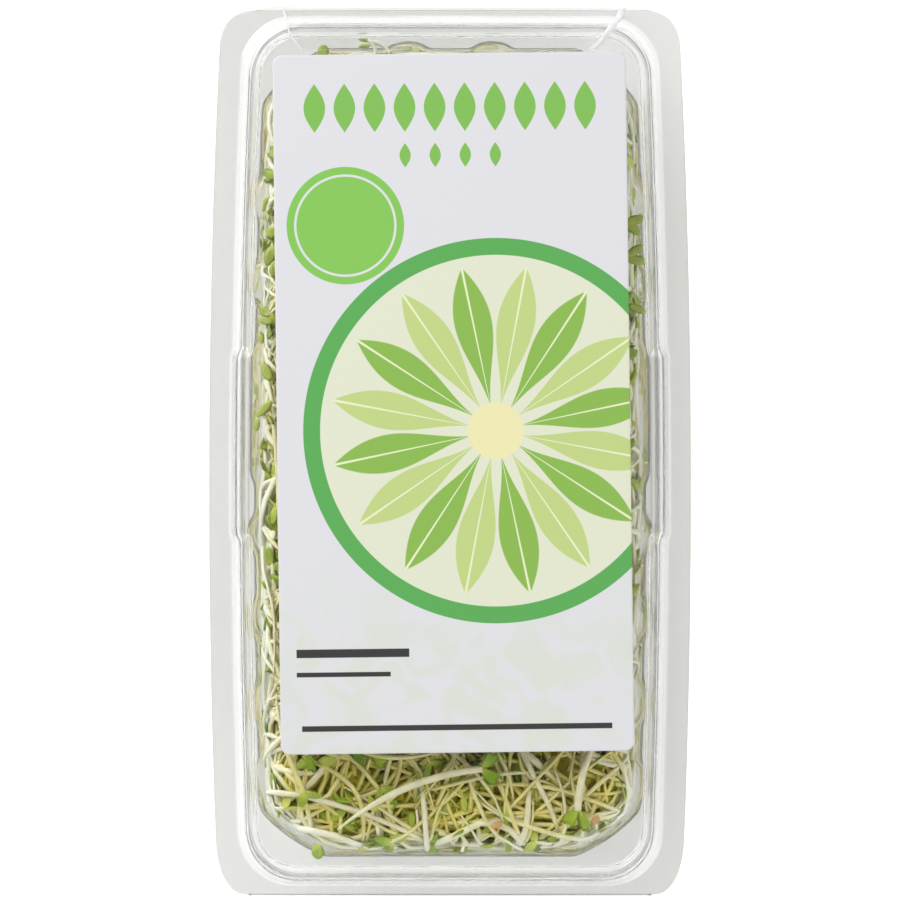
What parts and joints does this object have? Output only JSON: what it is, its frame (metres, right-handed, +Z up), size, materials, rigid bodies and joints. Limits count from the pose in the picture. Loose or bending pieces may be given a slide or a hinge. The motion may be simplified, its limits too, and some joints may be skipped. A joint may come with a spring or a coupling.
{
  "type": "clamshell pack of mixed sprouts",
  "caption": "Clear hinged punnet filled with tangled alfalfa and broccoli sprouts, with a plain paper label on its lid and a clear film strip over its lip.",
  "frame": {"origin": "under the middle of the pack, on the surface it stands on", "axes": "+Z up, +Y along the pack towards the lid's opening lip, +X to the right seen from above with the lip away"},
  "size_m": [0.1026, 0.1896, 0.0427],
  "materials": {
    "clear_plastic": "clear, thin and glossy",
    "clear_film": "clear, thin and glossy",
    "label_paper": "white, satin, printed",
    "sprouts": "creamy white stems and green seed leaves, moist",
    "seed_coat": "tan, papery"
  },
  "bodies": {
    "tray": {"tray": "clear_plastic", "sprout_pile": "sprouts", "broccoli_sprout_1": "sprouts", "broccoli_sprout_2": "sprouts", "alfalfa_sprout_3": "sprouts", "alfalfa_sprout_4": "sprouts", "broccoli_sprout_5": "sprouts", "alfalfa_sprout_6": "sprouts", "broccoli_sprout_7": "sprouts", "alfalfa_sprout_8": "sprouts", "seed_coat_1": "seed_coat", "seed_coat_2": "seed_coat"},
    "lid": {"lid": "clear_plastic", "label": "label_paper", "seal_strip": "clear_film"}
  },
  "joints": [
    {"name": "lid_hinge", "type": "hinge", "parent": "tray", "child": "lid", "pos_m": [0, -0.09495, 0.034], "axis": [1, 0, 0], "range_deg": [0, 180]}
  ]
}
